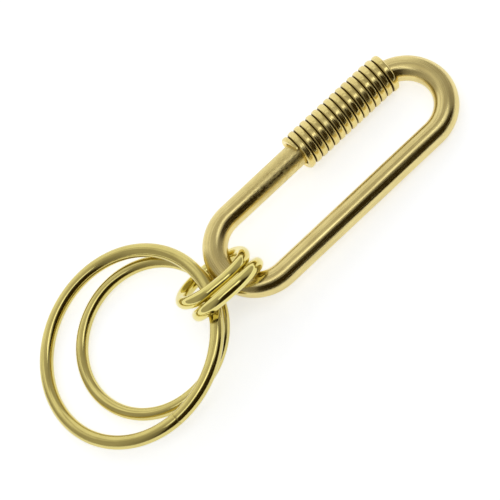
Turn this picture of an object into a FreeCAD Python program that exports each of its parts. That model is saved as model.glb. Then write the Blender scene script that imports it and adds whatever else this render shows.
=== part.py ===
import FreeCAD, Part
import math
import os
from FreeCAD import Vector

os.makedirs("parts", exist_ok=True)

# Belt key clip: a bent brass rod closed by a sliding wire coil, two jump rings and two key rings.
# Lengths are in millimetres and angles in degrees. The clip lies on a table and +Z points up.

# Link, in its own frame: X along its legs, the coil leg on the +Y side, the rings' bend at -X
rod_diameter = 5.0
leg_spacing = 16.3            # between the centre lines of the two straight legs
leg_length = 39.2             # straight part of a leg
belt_gap = 10.0               # opening in the coil leg where a belt loop is let in
stub_length = 1.1             # straight rod left between that opening and the far bend
end_rounding = 0.4            # broken edge on the two cut rod ends

# Sliding coil, wound a little open so that its turns stay apart
coil_wire = 1.12
coil_pitch = 1.56
coil_turns = 15.25
coil_clearance = 0.35         # between rod and wire
coil_overrun_length = 2.1     # of its last turn past the straight leg, round the far bend
coil_start_angle = 106.0      # round the rod from +Y toward +Z

# Rings
jump_wire = 2.6
jump_slack_length = 1.9       # left in a jump ring's hole beside the rod and both key ring wires
upper_slack_length = 1.14     # between the rod and the upper jump ring, and the lower one below
lower_slack_length = 0.81
large_wire = 2.76
large_inner = 35.5
small_wire = 2.5
ring_step_length = 7.4        # between the inner diameters of the large and the small key ring
large_space_length = 1.2      # between the rod and the large key ring's wire, and the small one's below
small_space_length = 0.63

# How the link lies: raised at the rings' end and on the coil's side
link_pitch = 3.82
link_bank = 4.32

# How each jump ring hangs: place on the bend, lean off upright, heading and seat of the rod
upper_hang = {"bend_angle": 8.2, "lean_angle": 40.2, "heading": 7.5, "seat_angle": 11.8}
lower_hang = {"bend_angle": -18.5, "lean_angle": 29.5, "heading": 3.8, "seat_angle": 37.6}

# How each key ring lies: rise of its wire seen from the rod, heading and held place
large_lie = {"rise_angle": 22.0, "heading": 142.0, "held_angle": -159.0}
small_lie = {"rise_angle": -19.2, "heading": 143.9, "held_angle": -160.2}

rod_radius = rod_diameter / 2
bend_radius = leg_spacing / 2
half_leg = leg_length / 2
coil_radius = rod_radius + coil_clearance + coil_wire / 2
coil_start = half_leg + coil_overrun_length - coil_pitch * coil_turns
jump_inner = rod_diameter + large_wire + small_wire + jump_slack_length
jump_radius = (jump_inner + jump_wire) / 2
small_inner = large_inner - ring_step_length
large_radius = (large_inner + large_wire) / 2
small_radius = (small_inner + small_wire) / 2


def sine(angle):
    return math.sin(math.radians(angle))


def cosine(angle):
    return math.cos(math.radians(angle))


# The link's lowest point touches the table: the bend far from the rings, on the plain leg's side
link_turn = FreeCAD.Rotation(Vector(0, 1, 0), link_pitch) * FreeCAD.Rotation(Vector(1, 0, 0), link_bank)
slope_x = link_turn.multVec(Vector(1, 0, 0)).z
slope_y = link_turn.multVec(Vector(0, 1, 0)).z
link_height = rod_radius - slope_x * half_leg + bend_radius * math.hypot(slope_x, slope_y)
link_place = FreeCAD.Placement(Vector(0, 0, link_height), link_turn)


def bend_point(angle):
    local = Vector(-half_leg - bend_radius * cosine(angle), bend_radius * sine(angle), 0)
    return link_place.multVec(local)


def make_link():
    gap_high = half_leg - stub_length
    gap_low = gap_high - belt_gap
    start = Vector(gap_high, bend_radius, 0)
    far_coil_side = Vector(half_leg, bend_radius, 0)
    far_plain_side = Vector(half_leg, -bend_radius, 0)
    near_plain_side = Vector(-half_leg, -bend_radius, 0)
    near_coil_side = Vector(-half_leg, bend_radius, 0)
    finish = Vector(gap_low, bend_radius, 0)
    path = Part.Wire([
        Part.makeLine(start, far_coil_side),
        Part.Arc(far_coil_side, Vector(half_leg + bend_radius, 0, 0), far_plain_side).toShape(),
        Part.makeLine(far_plain_side, near_plain_side),
        Part.Arc(near_plain_side, Vector(-half_leg - bend_radius, 0, 0), near_coil_side).toShape(),
        Part.makeLine(near_coil_side, finish),
    ])
    section = Part.Wire([Part.makeCircle(rod_radius, start, Vector(1, 0, 0))])
    rod = path.makePipeShell([section], True, False)
    cut_edges = []
    for edge in rod.Edges:
        middle = edge.BoundBox.Center
        at_cut = min(middle.distanceToPoint(start), middle.distanceToPoint(finish)) < end_rounding
        if at_cut:
            cut_edges.append(edge)
    return rod.makeFillet(end_rounding, cut_edges).Solids[0]


def coil_point(turn):
    around = coil_start_angle - 360 * turn
    along = coil_start + coil_pitch * turn
    return Vector(along, bend_radius + coil_radius * cosine(around), coil_radius * sine(around))


def coil_heading(turn):
    around = coil_start_angle - 360 * turn
    sweep = 2 * math.pi * coil_radius
    return Vector(coil_pitch, sweep * sine(around), -sweep * cosine(around)).normalize()


def arc_from(start, heading, finish):
    # the arc that leaves start along heading and ends at finish
    chord = finish - start
    across = chord - heading * chord.dot(heading)
    radius = chord.dot(chord) / (2 * across.Length)
    centre = start + across.normalize() * radius
    outward = (start + finish) / 2 - centre
    return Part.Arc(start, centre + outward.normalize() * radius, finish).toShape()


def biarc(start, start_heading, finish, finish_heading):
    # two arcs that meet smoothly, with equal reaches from both ends
    chord = finish - start
    both = start_heading + finish_heading
    bend = 2 * (1 - start_heading.dot(finish_heading))
    push = 2 * chord.dot(both)
    reach = (math.sqrt(push * push + 4 * bend * chord.dot(chord)) - push) / (2 * bend)
    meeting = (start + finish + (start_heading - finish_heading) * reach) / 2
    first = arc_from(start, start_heading, meeting)
    second = arc_from(meeting, (meeting - start - start_heading * reach).normalize(), finish)
    return [first, second]


def make_coil():
    steps = math.ceil(2 * coil_turns)
    first = coil_point(0)
    last = coil_point(coil_turns)
    tail = first - coil_heading(0) * coil_wire
    tip = last + coil_heading(coil_turns) * coil_wire
    edges = [Part.makeLine(tail, first)]
    for step in range(steps):
        turn = coil_turns * step / steps
        next_turn = coil_turns * (step + 1) / steps
        edges += biarc(coil_point(turn), coil_heading(turn), coil_point(next_turn), coil_heading(next_turn))
    edges.append(Part.makeLine(last, tip))
    section = Part.Wire([Part.makeCircle(coil_wire / 2, tail, coil_heading(0))])
    coil = Part.Wire(edges).makePipeShell([section], True, False)
    print("coil's least gap to itself, mm:", round(self_gap(edges) - coil_wire, 3))
    return coil


def self_gap(edges):
    # least distance between centre line points that are over half a turn apart along the wire
    points = []
    for edge in edges:
        points += edge.discretize(9)[:-1]
    spacing = sum(edge.Length for edge in edges) / len(points)
    apart = int(math.pi * coil_radius / spacing)
    least = coil_radius
    for index, point in enumerate(points):
        for other in points[index + apart:index + 4 * apart]:
            least = min(least, point.distanceToPoint(other))
    return least


def hang_jump_ring(hang, slack):
    # the rod passes through the ring's hole at the hang's seat, measured down from level
    lean = hang["lean_angle"]
    heading = hang["heading"]
    normal = Vector(sine(heading) * cosine(lean), cosine(heading) * cosine(lean), sine(lean))
    level = Vector(cosine(heading), -sine(heading), 0)
    downhill = normal.cross(level)
    reach = jump_inner / 2 - rod_radius - slack
    seat = level * cosine(hang["seat_angle"]) + downhill * sine(hang["seat_angle"])
    return bend_point(hang["bend_angle"]) - seat * reach, normal


def lay_key_ring(lie, space, ring_radius, wire, hold_y):
    # the wire is held inside the jump rings and the far side of the ring rests on the table
    held_at = rod_radius + wire / 2 + space
    rod_middle = bend_point((upper_hang["bend_angle"] + lower_hang["bend_angle"]) / 2)
    hold_x = rod_middle.x - held_at * cosine(lie["rise_angle"])
    hold_z = rod_middle.z + held_at * sine(lie["rise_angle"])
    hold = Vector(hold_x, hold_y, hold_z)
    drop = (hold_z - wire / 2) / (ring_radius * (1 - cosine(lie["held_angle"])))
    level = math.sqrt(1 - drop * drop)
    downhill = Vector(cosine(lie["heading"]) * level, sine(lie["heading"]) * level, -drop)
    sideways = Vector(-sine(lie["heading"]), cosine(lie["heading"]), 0)
    outward = downhill * cosine(lie["held_angle"]) + sideways * sine(lie["held_angle"])
    return hold - outward * ring_radius, downhill.cross(sideways), hold


upper_centre, upper_normal = hang_jump_ring(upper_hang, upper_slack_length)
lower_centre, lower_normal = hang_jump_ring(lower_hang, lower_slack_length)
hold_y = (upper_centre.y + lower_centre.y) / 2
large_centre, large_normal, large_hold = lay_key_ring(
    large_lie, large_space_length, large_radius, large_wire, hold_y)
small_centre, small_normal, small_hold = lay_key_ring(
    small_lie, small_space_length, small_radius, small_wire, hold_y)

link = make_link()
coil = make_coil()
link.Placement = link_place
coil.Placement = link_place

pieces = {
    "link_rod": link,
    "coil_sleeve": coil,
    "jump_ring_upper": Part.makeTorus(jump_radius, jump_wire / 2, upper_centre, upper_normal),
    "jump_ring_lower": Part.makeTorus(jump_radius, jump_wire / 2, lower_centre, lower_normal),
    "large_key_ring": Part.makeTorus(large_radius, large_wire / 2, large_centre, large_normal),
    "small_key_ring": Part.makeTorus(small_radius, small_wire / 2, small_centre, small_normal),
}

# The origin is under the middle of everything, on the table
box = Part.makeCompound(list(pieces.values())).optimalBoundingBox()
to_origin = Vector(-box.Center.x, -box.Center.y, -box.ZMin)

for name, shape in pieces.items():
    shape.translate(to_origin)
    shape.exportStep("parts/" + name + ".step")
    print(name, "volume", round(shape.Volume, 1), "mm3, valid", shape.isValid(), shape.ShapeType)

print("overall size:", round(box.XLength, 2), round(box.YLength, 2), round(box.ZLength, 2))
names = list(pieces)
for index, name in enumerate(names):
    for other in names[index + 1:]:
        gap = pieces[name].distToShape(pieces[other])[0]
        if gap < rod_radius:
            print("gap", name, other, round(gap, 3))
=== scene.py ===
# %% [markdown]
# # A brass belt key clip
# The clip is bent wire and nothing else: a long link of 5 mm rod, a wire coil that slides along one leg
# of it, two small jump rings through its lower bend, and a large and a small key ring held by them.
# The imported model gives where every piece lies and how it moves. This lesson makes each piece again as a
# smooth mesh, because polished metal shows every facet, and dresses it in a brass of its own.

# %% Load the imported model
from math import atan2, cos, hypot, pi, radians, sin, sqrt

import bpy
from mathutils import Matrix, Vector


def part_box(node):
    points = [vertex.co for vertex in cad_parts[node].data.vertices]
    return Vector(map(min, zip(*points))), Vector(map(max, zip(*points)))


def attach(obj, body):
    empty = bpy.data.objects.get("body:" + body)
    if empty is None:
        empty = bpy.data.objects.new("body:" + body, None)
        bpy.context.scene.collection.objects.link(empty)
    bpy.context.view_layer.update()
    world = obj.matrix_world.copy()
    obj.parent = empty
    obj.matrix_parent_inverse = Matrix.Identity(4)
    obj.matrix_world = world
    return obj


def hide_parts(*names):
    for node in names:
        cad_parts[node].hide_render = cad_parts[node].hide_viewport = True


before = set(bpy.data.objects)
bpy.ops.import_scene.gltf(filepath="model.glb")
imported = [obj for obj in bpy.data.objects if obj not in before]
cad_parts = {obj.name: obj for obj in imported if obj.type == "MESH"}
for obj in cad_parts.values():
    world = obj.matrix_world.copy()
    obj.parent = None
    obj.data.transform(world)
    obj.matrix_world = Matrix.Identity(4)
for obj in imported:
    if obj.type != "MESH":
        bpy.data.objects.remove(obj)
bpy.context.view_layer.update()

# %% [markdown]
# ## Units and middles
# Blender works in metres here, and a maker of wire rings thinks in millimetres, so lengths are written in
# millimetres times `mm`. The link and the rings are symmetrical about their own middles, so the middle of
# a node's box is also the middle of the piece, and each mesh can be put exactly where the model has it.

# %% Units and middles
mm = 0.001


def middle(node):
    """The middle of a node's box at rest."""
    low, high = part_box(node)
    return (Vector(low) + Vector(high)) / 2


link_middle = middle("link_rod")
print("link's middle, mm:", [round(value / mm, 2) for value in link_middle])

# %% [markdown]
# ## Camera
# The photograph was taken from above with a long lens. The camera starts looking straight down with its
# top toward +Y. It is rolled about its own line of sight, tipped toward the front and turned a little on
# the table.
# The middle of the picture lies beside the link, so the camera aims there and stands one viewing distance
# away.

# %% Camera
camera_roll = radians(-41.78)
camera_tilt = radians(26.44)
camera_heading = radians(-3.33)
view_distance = 384.6 * mm
aim_across = -15.56 * mm
aim_up = -14.36 * mm
sensor_width = 36
lens_length = 144
view_turn = (
    Matrix.Rotation(camera_heading, 3, "Z")
    @ Matrix.Rotation(camera_tilt, 3, "X")
    @ Matrix.Rotation(camera_roll, 3, "Z")
)
aim = link_middle + view_turn @ Vector((aim_across, aim_up, 0))
standpoint = aim + view_turn @ Vector((0, 0, view_distance))
camera_data = bpy.data.cameras.new("photo_camera")
camera_data.sensor_width = sensor_width
camera_data.lens = lens_length
camera = bpy.data.objects.new("photo_camera", camera_data)
bpy.context.collection.objects.link(camera)
camera.matrix_world = Matrix.Translation(standpoint) @ view_turn.to_4x4()
bpy.context.scene.camera = camera
bpy.context.scene.view_settings.view_transform = "Standard"
print("camera stands at, mm:", [round(value / mm) for value in camera.location])

# %% [markdown]
# ## Helpers for node trees
# Floor, room and brass are all made of nodes, and three small steps come back in each of them: a number
# that is worked out from two others, a number that fades from one value to another, and a colour laid
# over a colour.

# %% Helpers for node trees
def node_material(name):
    """A new material with nodes, and its tree."""
    material = bpy.data.materials.new(name)
    material.use_nodes = True
    return material, material.node_tree


def combine(tree, operation, first, second):
    """Works out one number from two."""
    both = tree.nodes.new("ShaderNodeMath")
    both.operation = operation
    tree.links.new(first, both.inputs[0])
    tree.links.new(second, both.inputs[1])
    return both.outputs[0]


def fade(tree, value, start, end, low=0.0, high=1.0):
    """Goes smoothly from low to high while the value goes from start to end."""
    blend = tree.nodes.new("ShaderNodeMapRange")
    blend.interpolation_type = "SMOOTHSTEP"
    blend.inputs["From Min"].default_value = start
    blend.inputs["From Max"].default_value = end
    blend.inputs["To Min"].default_value = low
    blend.inputs["To Max"].default_value = high
    tree.links.new(value, blend.inputs["Value"])
    return blend.outputs["Result"]


def lay_over(tree, under, colour, share):
    """Lays a colour over what is under it. The share says where it covers."""
    layer = tree.nodes.new("ShaderNodeMix")
    layer.data_type = "RGBA"
    if isinstance(under, tuple):
        layer.inputs["A"].default_value = (*under, 1)
    else:
        tree.links.new(under, layer.inputs["A"])
    layer.inputs["B"].default_value = (*colour, 1)
    tree.links.new(share, layer.inputs["Factor"])
    return layer.outputs["Result"]


print("node helpers: node_material, combine, fade, lay_over")

# %% [markdown]
# ## Floor
# The clip lies on plain white paper. A large square is enough. It keeps the soft shadow under the rings. A
# little light of its own, which only the camera and the mirroring metal see, lifts it to white without
# lighting the clip any more.

# %% Floor
paper_width = 4
paper_tone = (0.90, 0.91, 0.94)
paper_roughness = 0.9
paper_shine = 0.1
glow_tone = (0.95, 0.97, 1)
glow_strength = 0.63
bpy.ops.object.select_all(action="DESELECT")
bpy.ops.mesh.primitive_plane_add(size=paper_width)
paper = bpy.context.object
paper.name = "paper_floor"
paper_material, paper_tree = node_material("white_paper")
shader = paper_tree.nodes["Principled BSDF"]
shader.inputs["Base Color"].default_value = (*paper_tone, 1)
shader.inputs["Roughness"].default_value = paper_roughness
shader.inputs["Specular IOR Level"].default_value = paper_shine
shader.inputs["Emission Color"].default_value = (*glow_tone, 1)
rays = paper_tree.nodes.new("ShaderNodeLightPath").outputs
seen = combine(paper_tree, "MAXIMUM", rays["Is Camera Ray"], rays["Is Glossy Ray"])
seen = combine(paper_tree, "MAXIMUM", seen, rays["Is Transmission Ray"])
glow = fade(paper_tree, seen, start=0.0, end=1.0, high=glow_strength)
paper_tree.links.new(glow, shader.inputs["Emission Strength"])
paper.data.materials.append(paper_material)
print("floor is", paper.dimensions.x, "m wide")

# %% [markdown]
# ## Room
# Polished metal is a mirror, so its look is the room around it. Following single glints in the photograph
# back to where they come from gives that room: a grey, slightly warm ceiling with a brighter patch, a
# white wall on the far side with a grey rail across it, a dark front on the camera's side with dim
# flanks, and a small window high up on the +X side. The dark front is the dark band along every wire.
# Cards set up round the clip would do as well, but a world shader paints all of this by direction, and
# nothing stands in the way of the other views.
# A heading is measured in degrees from -Y toward +X, and a rise in degrees from level to straight up.

# %% World and helpers for the room
world = bpy.data.worlds.new("photo_room")
bpy.context.scene.world = world
world.use_nodes = True
room_tree = world.node_tree
direction = room_tree.nodes.new("ShaderNodeTexCoord").outputs["Generated"]


def facing(heading, rise):
    """How squarely a direction faces a place in the room: 1 straight at it, 0 at right angles to it."""
    level = cos(radians(rise))
    toward = (sin(radians(heading)) * level, -cos(radians(heading)) * level, sin(radians(rise)))
    place = room_tree.nodes.new("ShaderNodeVectorMath")
    place.operation = "DOT_PRODUCT"
    place.inputs[1].default_value = toward
    room_tree.links.new(direction, place.inputs[0])
    return place.outputs["Value"]


def patch(heading, rise, inner, outer):
    """A round patch: all of it within the inner angle, none of it beyond the outer one."""
    return fade(room_tree, facing(heading, rise), cos(radians(outer)), cos(radians(inner)))


def half_room(heading, soft_edge):
    """The half of the room round a heading. Two halves that overlap leave a wedge."""
    return fade(room_tree, facing(heading, 0), 0.0, soft_edge)


def overlap(first, second):
    """What lies in both."""
    return combine(room_tree, "MULTIPLY", first, second)


print("room helpers: facing, patch, half_room, overlap")

# %% [markdown]
# The far wall is a wedge of the room with a top edge, and its rail is a level stripe across it. Both are
# cut by height, which is how squarely a direction faces straight up.

# %% Ceiling and far wall
height = facing(heading=180, rise=90)


def by_height(start, end):
    """Fades in while the rise goes from start to end."""
    return fade(room_tree, height, sin(radians(start)), sin(radians(end)))


bright_ceiling = patch(heading=-120, rise=80, inner=12, outer=28)
wall_wedge = overlap(half_room(heading=212, soft_edge=0.25), half_room(heading=131, soft_edge=0.2))
far_wall = overlap(wall_wedge, by_height(start=61, end=57))
level_stripe = overlap(by_height(start=38, end=41), by_height(start=48, end=45))
wall_rail = overlap(far_wall, level_stripe)
print("nodes after the wall:", len(room_tree.nodes))

# %% [markdown]
# The dark front is a wedge too. It reaches up to a round cap of ceiling, whose middle is a little off
# straight up and whose edge is about 26 degrees away from that middle. Beside the dark front the room is
# dim and brightens toward the back.

# %% Dark front and window
# The next three say how squarely a direction faces, from 0 to 1.
cap_inside = 0.91
cap_outside = 0.88
flank_reach = 0.75
flank_dimming = 0.55
front_top = fade(room_tree, facing(heading=90, rise=80), cap_inside, cap_outside)
front_wedge = overlap(half_room(heading=38, soft_edge=0.12), half_room(heading=-28, soft_edge=0.12))
dark_front = overlap(front_wedge, front_top)
flanks = fade(room_tree, facing(heading=0, rise=25), 0.0, flank_reach, high=flank_dimming)
dim_flanks = overlap(flanks, front_top)
side_window = patch(heading=58, rise=55, inner=8, outer=15)
print("nodes after the front:", len(room_tree.nodes))

# %% [markdown]
# The colours are laid over each other like coats of paint, from the ceiling to the window.

# %% Paint the room
ceiling_tone = (0.45, 0.43, 0.39)
bright_ceiling_tone = (0.66, 0.635, 0.58)
wall_tone = (1.0, 1.0, 0.99)
rail_tone = (0.60, 0.58, 0.53)
front_tone = (0.028, 0.018, 0.003)
window_tone = (0.75, 0.75, 0.75)
coats = [
    (bright_ceiling_tone, bright_ceiling),
    (wall_tone, far_wall),
    (rail_tone, wall_rail),
    (front_tone, dim_flanks),
    (front_tone, dark_front),
    (window_tone, side_window),
]
room = ceiling_tone
for tone, share in coats:
    room = lay_over(room_tree, room, tone, share)
room_tree.links.new(room, room_tree.nodes["Background"].inputs["Color"])
print("room is painted in", len(coats), "coats over the ceiling")

# %% [markdown]
# ## Lamp
# One long soft lamp of cool white hangs above the front edge of the table. It draws the thin bright line
# that runs beside the dark band, and the soft shadow on the paper. Its energy follows from its size, so
# that it stays as bright to look at if it is made larger.

# %% Lamp
lamp_length = 1.4
lamp_depth = 0.24
lamp_tone = (0.88, 0.92, 1.0)
lamp_brightness = 1.2
lamp_place = (0.03, -0.20, 1.0)
lamp_tilt = radians(11)
lamp_data = bpy.data.lights.new("long_lamp", "AREA")
lamp_data.shape = "RECTANGLE"
lamp_data.size = lamp_length
lamp_data.size_y = lamp_depth
lamp_data.color = lamp_tone
lamp_data.energy = lamp_brightness * pi * lamp_data.size * lamp_data.size_y
lamp = bpy.data.objects.new("long_lamp", lamp_data)
bpy.context.collection.objects.link(lamp)
lamp.location = lamp_place
lamp.rotation_euler = (lamp_tilt, 0, 0)
print("lamp energy", round(lamp_data.energy, 2), "W")

# %% [markdown]
# ## Brass
# All the wire is brass, but not all of it is finished alike. The link's rod is satin: fine drawn lines
# run along it and blur what it mirrors. The key rings are polished, the jump rings are polished brighter
# still, and the coil is drawn wire, crisp in one line and hazy in the next.
# Every piece carries a `grain` attribute: how many millimetres along the wire a point is and where it
# sits across the wire. Noise that is stretched along that grain gives drawn lines that follow every bend,
# which noise on plain object coordinates could not do.
# Two more attributes are painted only where they are wanted. `wear` is where a piece is rubbed and
# scratched. The other is where no polishing cloth reaches, so that the brass has gone brown, and it also
# carries painted shade that darkens the grooves of the coil and the sides of its turns.

# %% Helpers for brass
relief_height = 0.02 * mm


def painted(tree, attribute, output="Fac"):
    """Reads what is stored at the points of the piece."""
    source = tree.nodes.new("ShaderNodeAttribute")
    source.attribute_name = attribute
    return source.outputs[output]


def grain_noise(tree, scale, detail, slant=0):
    """Noise that is scaled along and across the wire, and slanted to it by some degrees."""
    stretch = tree.nodes.new("ShaderNodeMapping")
    stretch.inputs["Scale"].default_value = scale
    stretch.inputs["Rotation"].default_value = (0, 0, radians(slant))
    texture = tree.nodes.new("ShaderNodeTexNoise")
    texture.inputs["Scale"].default_value = 1.0
    texture.inputs["Detail"].default_value = detail
    tree.links.new(painted(tree, "grain", "Vector"), stretch.inputs["Vector"])
    tree.links.new(stretch.outputs["Vector"], texture.inputs["Vector"])
    return texture.outputs["Fac"]


def relief(tree, pattern, strength, under=None):
    """Raises a pattern on the surface, on top of the relief that is under it."""
    raised = tree.nodes.new("ShaderNodeBump")
    raised.inputs["Strength"].default_value = strength
    raised.inputs["Distance"].default_value = relief_height
    tree.links.new(pattern, raised.inputs["Height"])
    if under:
        tree.links.new(under, raised.inputs["Normal"])
    return raised.outputs["Normal"]


print("brass helpers: painted, grain_noise, relief")

# %% [markdown]
# One recipe makes every finish. Blotches vary the tone, drawn lines vary the roughness from smooth to
# rough, and lines, pits and scratches give the relief. Scratches show only where there is wear, and
# between them a worn place is still rubbed a little.

# %% Brass recipe
# The brown of tarnish, which also serves as painted shade in the coil's grooves and on the sides of its
# turns.
tarnish_and_shade_tone = (0.12, 0.065, 0.004)
tarnish_and_shade_haze = 0.3
scratch_haze = 0.3
scratch_relief = 0.45
rubbed_share = 0.25


def brass(name, light_tone, dark_tone, smooth, rough, line_relief, pit_relief):
    """One finish of brass: its tones, how hazy its mirror is, and its fine relief."""
    material, tree = node_material(name)
    shader = tree.nodes["Principled BSDF"]
    shader.inputs["Metallic"].default_value = 1.0
    blotches = grain_noise(tree, scale=(0.25, 0.6, 0.6), detail=4)
    lines = grain_noise(tree, scale=(0.06, 5.0, 5.0), detail=3)
    pits = grain_noise(tree, scale=(3.0, 3.0, 3.0), detail=2)
    scratches = grain_noise(tree, scale=(1.8, 7.0, 7.0), detail=3, slant=40)
    scratches = fade(tree, scratches, start=0.44, end=0.62, low=rubbed_share)
    scratched = combine(tree, "MULTIPLY", painted(tree, "wear"), scratches)
    tarnish_and_shade = painted(tree, "tarnish_and_shade")

    tones = lay_over(tree, dark_tone, light_tone, fade(tree, blotches, start=0.3, end=0.7))
    # Brown tarnish, together with painted shade, is laid over the tones where the piece stores it.
    tones = lay_over(tree, tones, tarnish_and_shade_tone, tarnish_and_shade)
    haze = fade(tree, lines, start=0.3, end=0.7, low=smooth, high=rough)
    haze = combine(tree, "ADD", haze, fade(tree, scratched, start=0.0, end=1.0, high=scratch_haze))
    haze = combine(tree, "ADD", haze, fade(tree, tarnish_and_shade, start=0.0, end=1.0, high=tarnish_and_shade_haze))
    surface = relief(tree, lines, line_relief)
    surface = relief(tree, pits, pit_relief, surface)
    surface = relief(tree, scratched, scratch_relief, surface)
    tree.links.new(tones, shader.inputs["Base Color"])
    tree.links.new(haze, shader.inputs["Roughness"])
    tree.links.new(surface, shader.inputs["Normal"])
    return material


print("brass recipe has a relief of", round(relief_height / mm, 3), "mm")

# %% [markdown]
# The four finishes differ in tone, in how crisply they mirror and in how deep their lines and pits are.

# %% Four finishes
satin_brass = brass(
    "satin_brass",
    light_tone=(0.80, 0.67, 0.29),
    dark_tone=(0.70, 0.575, 0.24),
    smooth=0.15, rough=0.3, line_relief=0.42, pit_relief=0.25,
)
key_ring_brass = brass(
    "key_ring_brass",
    light_tone=(0.71, 0.605, 0.215),
    dark_tone=(0.64, 0.54, 0.185),
    smooth=0.07, rough=0.22, line_relief=0.22, pit_relief=0.06,
)
jump_ring_brass = brass(
    "jump_ring_brass",
    light_tone=(0.79, 0.69, 0.245),
    dark_tone=(0.74, 0.64, 0.215),
    smooth=0.06, rough=0.1, line_relief=0.1, pit_relief=0.05,
)
wire_brass = brass(
    "wire_brass",
    light_tone=(0.83, 0.69, 0.285),
    dark_tone=(0.77, 0.63, 0.245),
    smooth=0.1, rough=0.36, line_relief=0.15, pit_relief=0.08,
)
print("finishes:", satin_brass.name, key_ring_brass.name, jump_ring_brass.name, wire_brass.name)

# %% [markdown]
# ## Tools for wire
# A piece of wire starts as a loop of points, the wire's section, which is drawn out or spun into a tube.
# Then both cut ends are closed. Spinning can turn a tube inside out, so doubles are merged and the faces
# turned outward before the sharp edges of the cuts are broken, as a file would do it.

# %% Tools for shaping
merge_distance = 0.001 * mm
edge_segments = 4
sharp_angle = radians(60)


def start_circle(name, radius, place, turn, sides):
    """Starts a piece with the round section of its wire, all selected in edit mode."""
    bpy.ops.object.select_all(action="DESELECT")
    bpy.ops.mesh.primitive_circle_add(vertices=sides, radius=radius, location=place, rotation=turn)
    piece = bpy.context.object
    piece.name = name
    bpy.ops.object.transform_apply(location=True, rotation=True, scale=True)
    bpy.ops.object.mode_set(mode="EDIT")
    bpy.ops.mesh.select_all(action="SELECT")
    return piece


def draw_out(length):
    """Draws the selected section out along X."""
    bpy.ops.mesh.extrude_region_move(TRANSFORM_OT_translate={"value": (length, 0, 0)})


def close_ends(piece, edge_width):
    """Fills both cut ends, turns all faces outward and breaks the sharp edges of the cuts."""
    bpy.ops.mesh.select_all(action="SELECT")
    bpy.ops.mesh.remove_doubles(threshold=merge_distance)
    bpy.ops.mesh.fill_holes(sides=0)
    bpy.ops.mesh.select_all(action="SELECT")
    bpy.ops.mesh.normals_make_consistent(inside=False)
    bpy.ops.object.mode_set(mode="OBJECT")
    edge = piece.modifiers.new("broken_edge", "BEVEL")
    edge.width = edge_width
    edge.segments = edge_segments
    edge.limit_method = "ANGLE"
    edge.angle_limit = sharp_angle
    bpy.ops.object.modifier_apply(modifier=edge.name)


print("shaping tools: start_circle, draw_out, close_ends")

# %% [markdown]
# A finished piece gets its grain and paint while it still lies straight at the origin, where places on
# the wire are easy to work out. Only then is it turned and moved, and its object stays at the origin.

# %% Tools for finishing
smooth_angle = radians(50)


def set_grain(piece, place_on_wire):
    """Stores, in millimetres, how far along the wire each point is and where it sits across the wire."""
    grain = piece.data.attributes.new("grain", "FLOAT_VECTOR", "POINT")
    for point, value in zip(piece.data.vertices, grain.data):
        value.vector = Vector(place_on_wire(point.co)) / mm


def paint(piece, name, amount_at):
    """Stores one number from 0 to 1 at each point, under the name that the brass looks for."""
    layer = piece.data.attributes.new(name, "FLOAT", "POINT")
    for point, value in zip(piece.data.vertices, layer.data):
        value.value = min(max(amount_at(point.co), 0), 1)


def put_in_place(piece, turn, place, material):
    """Turns a finished piece and moves it to its place, and leaves its object at the origin."""
    piece.matrix_world = Matrix.Translation(place) @ turn.to_4x4()
    bpy.ops.object.transform_apply(location=True, rotation=True, scale=True)
    bpy.ops.object.shade_smooth_by_angle(angle=smooth_angle)
    piece.data.materials.append(material)
    print(piece.name, "faces:", len(piece.data.polygons))


print("finishing tools: set_grain, paint, put_in_place")

# %% [markdown]
# ## Link
# The real link is one rod, cut square, with its ends left facing each other under the coil. It is made
# the way it is bent: a circle of the rod's section is drawn out straight, spun half a turn round the far
# bend, drawn out along the plain leg, spun round the near bend and drawn out once more. A curve with a
# bevel would do as well, but spinning keeps the sections square to the rod and evenly spaced. The last
# leg is drawn out in short steps, because wear will be stored at its points.

# %% Link rod
rod_radius = 2.5 * mm
bend_radius = 8.15 * mm
half_leg = 19.6 * mm
stub = 1.1 * mm
belt_gap = 10 * mm
rod_edge = 0.4 * mm
rod_sides = 72
bend_steps = 96
leg_steps = 40
gap_high = half_leg - stub
gap_low = gap_high - belt_gap
rod = start_circle("link_rod_smooth", rod_radius, (gap_high, bend_radius, 0), (0, pi / 2, 0), rod_sides)
draw_out(stub)
bpy.ops.mesh.spin(steps=bend_steps, angle=pi, center=(half_leg, 0, 0), axis=(0, 0, 1))
draw_out(-2 * half_leg)
bpy.ops.mesh.spin(steps=bend_steps, angle=pi, center=(-half_leg, 0, 0), axis=(0, 0, 1))
for step in range(leg_steps):
    draw_out((gap_low + half_leg) / leg_steps)
close_ends(rod, rod_edge)
print("link is", round(rod.dimensions.x / mm, 2), "mm long")

# %% [markdown]
# The coil has been slid to and fro, so the leg below it is rubbed and scratched, most of all close to the
# coil. Both the grain and the wear need to know how far along the rod a point is. That distance runs up
# the coil's leg from its middle, round the far bend, down the plain leg and round the near bend.
# The link does not lie level: the coil lifts one leg, and the jump rings lift the near bend.

# %% Wear and place of the link
worn_to = 0.0 * mm
worn_from = -19.0 * mm
worn_fade = 1.0 * mm
worn_length = 12.0 * mm
near_bend_lift = radians(3.82)
coil_leg_lift = radians(4.32)
link_turn = Matrix.Rotation(near_bend_lift, 3, "Y") @ Matrix.Rotation(coil_leg_lift, 3, "X")


def place_on_rod(point):
    """How far along the rod a point is, how far outside the rod's middle line, and how high."""
    x, y, z = point
    past = abs(x) - half_leg
    if past <= 0:
        along = x if y > 0 else 2 * half_leg + pi * bend_radius - x
        return along, abs(y) - bend_radius, z
    turn = atan2(past, y) if x > 0 else atan2(past, -y)
    start = half_leg if x > 0 else 3 * half_leg + pi * bend_radius
    return start + bend_radius * turn, hypot(past, y) - bend_radius, z


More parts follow.
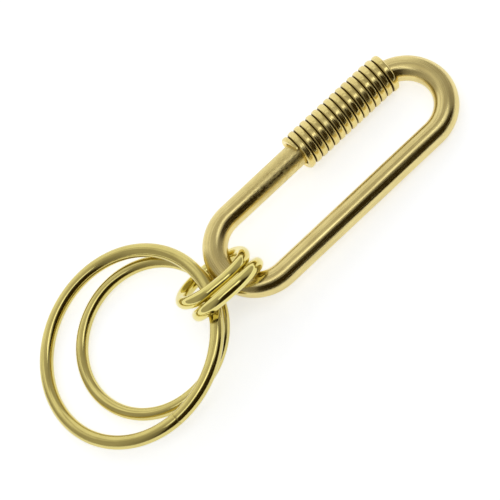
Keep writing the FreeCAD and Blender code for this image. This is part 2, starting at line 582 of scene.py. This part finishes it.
def wear_on_rod(point):
    """Grows from where the wear starts and ends quickly where it stops, under the coil."""
    along = place_on_rod(point)[0]
    return min((worn_to - along) / worn_fade, (along - worn_from) / worn_length)


set_grain(rod, place_on_rod)
paint(rod, "wear", wear_on_rod)
put_in_place(rod, link_turn, link_middle, satin_brass)
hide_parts("link_rod")
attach(rod, "link_rod")

# %% [markdown]
# ## Coil
# The sleeve is brass wire wound closely on the rod, left-handed, with about fifteen turns. The wire is
# round but pressed a little flat. Its section starts as a plain rectangle, whose corners are bevelled
# until the short sides are nearly half circles, and it stands where the cut tip of the wire is.

# %% Wire section
coil_radius = 3.43 * mm
coil_start = -1.79 * mm
tip_angle = radians(106)
wire_width = 1.56 * mm
wire_height = 1.18 * mm
wire_corner = 0.58 * mm
corner_segments = 7
bpy.ops.object.select_all(action="DESELECT")
bpy.ops.mesh.primitive_plane_add(size=1)
coil = bpy.context.object
coil.name = "coil_wound"
coil.scale = (wire_width, wire_height, 1)
bpy.ops.object.transform_apply(location=True, rotation=True, scale=True)
bpy.ops.object.mode_set(mode="EDIT")
bpy.ops.mesh.select_all(action="SELECT")
bpy.ops.mesh.delete(type="ONLY_FACE")
bpy.ops.mesh.select_all(action="SELECT")
bpy.ops.mesh.bevel(offset=wire_corner, segments=corner_segments, affect="VERTICES")
bpy.ops.object.mode_set(mode="OBJECT")
coil.rotation_euler = (tip_angle, 0, 0)
coil.location = (coil_start, coil_radius * cos(tip_angle), coil_radius * sin(tip_angle))
bpy.ops.object.transform_apply(location=True, rotation=True, scale=True)
print("points round the wire:", len(coil.data.vertices))

# %% [markdown]
# A Screw modifier winds the section round the middle line of the leg. A bevelled curve along a spiral
# would do for round wire, but the Screw modifier keeps the flat of this wire facing outward.

# %% Winding
coil_pitch = 1.575 * mm
coil_turns = 15.25
steps_per_turn = 56
winding = coil.modifiers.new("winding", "SCREW")
winding.axis = "X"
winding.angle = -2 * pi * coil_turns
winding.screw_offset = coil_pitch * coil_turns
winding.steps = round(steps_per_turn * coil_turns)
winding.render_steps = winding.steps
bpy.ops.object.modifier_apply(modifier=winding.name)
print("coil is", round(coil.dimensions.x / mm, 2), "mm long")

# %% [markdown]
# While the coil is still straight and centred, a point's turn can be counted from its place, and its depth
# in a groove from its distance to the middle line. The grooves have gone brown, and over that brown a
# painted shade darkens them and the sides of the turns. The crowns of the turns and the two open sides of
# the coil are rubbed clean and get no painted shade. The brown and the painted shade are stored at the
# points, so that they stay in the grooves when the coil is slid.

# %% Grain, tarnish and painted shade of the coil
clean_depth = 0.11 * mm
tarnish_and_shade_depth = 0.20 * mm
coil_edge = 0.15 * mm


def turn_of(point):
    """Counts the turns from the tip to a point of the straight coil."""
    part = ((tip_angle - atan2(point.z, point.y)) / (2 * pi)) % 1
    return part + round((point.x - coil_start) / coil_pitch - part)


def place_on_coil(point):
    """How far along the wire a point is, how far out from the wire's middle, and how far sideways."""
    turn = turn_of(point)
    across = hypot(point.y, point.z) - coil_radius
    return turn * 2 * pi * coil_radius, across, point.x - coil_start - coil_pitch * turn


def tarnish_and_shade_on_coil(point):
    """Brown tarnish with painted shade, which starts one clean depth below the crown and is full one
    tarnish depth further down.
    """
    across, sideways = place_on_coil(point)[1:]
    at_start = turn_of(point) < 1 and sideways < 0
    at_end = turn_of(point) > coil_turns - 1 and sideways > 0
    if at_start or at_end:
        return 0
    return (wire_height / 2 - across - clean_depth) / tarnish_and_shade_depth


bpy.ops.object.mode_set(mode="EDIT")
close_ends(coil, coil_edge)
set_grain(coil, place_on_coil)
# Paints brown tarnish together with painted shade into the grooves and onto the sides of the turns.
paint(coil, "tarnish_and_shade", tarnish_and_shade_on_coil)
# Counts the points that get brown tarnish and painted shade.
tarnished_and_shaded_points = sum(value.value > 0 for value in coil.data.attributes["tarnish_and_shade"].data)
print("tarnished points:", tarnished_and_shaded_points, "of", len(coil.data.vertices))

# %% [markdown]
# Three things make the coil look wound by hand. Its wire tapers toward the cut tip, which lies close
# against the next turn. The first turn stands off a little halfway round. The last turns lean inward with
# the rod where the far bend begins, but no further than lets the coil clear the straight leg when it is
# slid down.

# %% Look and place of the coil
tip_turns = 0.3
tip_share = 0.4
first_turn_opening = 0.12 * mm
most_lean = 0.3 * mm
for point in coil.data.vertices:
    turn = max(turn_of(point.co), 0)
    inner_side = coil_start + coil_pitch * turn + wire_width / 2
    if turn < tip_turns:
        width_share = tip_share + (1 - tip_share) * turn / tip_turns
        point.co.x = inner_side + (point.co.x - inner_side) * width_share
    if turn < 1:
        point.co.x -= first_turn_opening * sin(pi * turn)
    past = max(coil_start + coil_pitch * turn - half_leg, 0)
    lean = bend_radius - sqrt(bend_radius ** 2 - past ** 2)
    point.co.y += bend_radius - min(lean, most_lean)
put_in_place(coil, link_turn, link_middle, wire_brass)
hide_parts("coil_sleeve")
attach(coil, "coil_sleeve")

# %% [markdown]
# ## Rings
# Each ring is wire bent round until its cut ends meet. A circle of wire is spun round the ring's middle,
# not quite a full turn, and both ends are filled and their edges broken. What is left is the fine seam of
# a real ring. A torus primitive would have no ends. Each ring is then turned to its lean and put on its
# own middle.

# %% Ring maker
seam_width = 0.02 * mm
ring_edge = 0.06 * mm
ring_sides = 40


def make_ring(node, ring_radius, wire_radius, steps, seam_heading, turn, material):
    """Makes one ring with its seam at a heading in degrees, and puts it where the node is."""
    ring = start_circle(node + "_smooth", wire_radius, (ring_radius, 0, 0), (pi / 2, 0, 0), ring_sides)
    bent = 2 * pi - seam_width / ring_radius
    bpy.ops.mesh.spin(steps=steps, angle=bent, center=(0, 0, 0), axis=(0, 0, 1))
    close_ends(ring, ring_edge)

    def place_on_ring(point):
        around = atan2(point.y, point.x) % (2 * pi)
        return around * ring_radius, hypot(point.x, point.y) - ring_radius, point.z

    set_grain(ring, place_on_ring)
    seam_turn = Matrix.Rotation(radians(seam_heading), 3, "Z")
    put_in_place(ring, turn @ seam_turn, middle(node), material)
    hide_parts(node)
    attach(ring, node)


print("rings get a seam of", round(seam_width / mm, 3), "mm")

# %% [markdown]
# A jump ring stands on the rod and leans back. Its turn starts from a ring that lies flat: tipped up on
# its edge, leaned over, and swung to its heading. Both seams are turned to where the camera does not see
# them.

# %% Jump rings
jump_radius = 7.38 * mm
jump_wire = 1.3 * mm
jump_steps = 144
jump_seam = 90


def hanging(lean, heading):
    """The turn of a ring that stands on the rod, leans back and is swung round, in degrees."""
    return Matrix.Rotation(radians(-heading), 3, "Z") @ Matrix.Rotation(radians(lean - 90), 3, "X")


upper_turn = hanging(lean=40.2, heading=7.5)
lower_turn = hanging(lean=29.5, heading=3.8)
make_ring("jump_ring_upper", jump_radius, jump_wire, jump_steps, jump_seam, upper_turn, jump_ring_brass)
make_ring("jump_ring_lower", jump_radius, jump_wire, jump_steps, jump_seam, lower_turn, jump_ring_brass)

# %% [markdown]
# A key ring lies nearly flat and only tips down toward its far side. The seam of the large one is turned
# to where the photograph shows a fine line, and the seam of the small one to where the camera does not
# see it.

# %% Key rings
large_radius = 19.13 * mm
large_wire = 1.38 * mm
large_steps = 256
large_seam = -98
small_radius = 15.3 * mm
small_wire = 1.25 * mm
small_steps = 224
small_seam = -17


def lying(heading, drop):
    """The turn of a ring that lies flat and drops toward a heading, counted from +X, in degrees."""
    sideways = Vector((-sin(radians(heading)), cos(radians(heading)), 0))
    return Matrix.Rotation(radians(drop), 3, sideways)


large_turn = lying(heading=142.0, drop=10.8)
small_turn = lying(heading=143.9, drop=7.2)
make_ring("large_key_ring", large_radius, large_wire, large_steps, large_seam, large_turn, key_ring_brass)
make_ring("small_key_ring", small_radius, small_wire, small_steps, small_seam, small_turn, key_ring_brass)

# %% [markdown]
# ## End

# %% Finish
print("every piece is made and dressed")
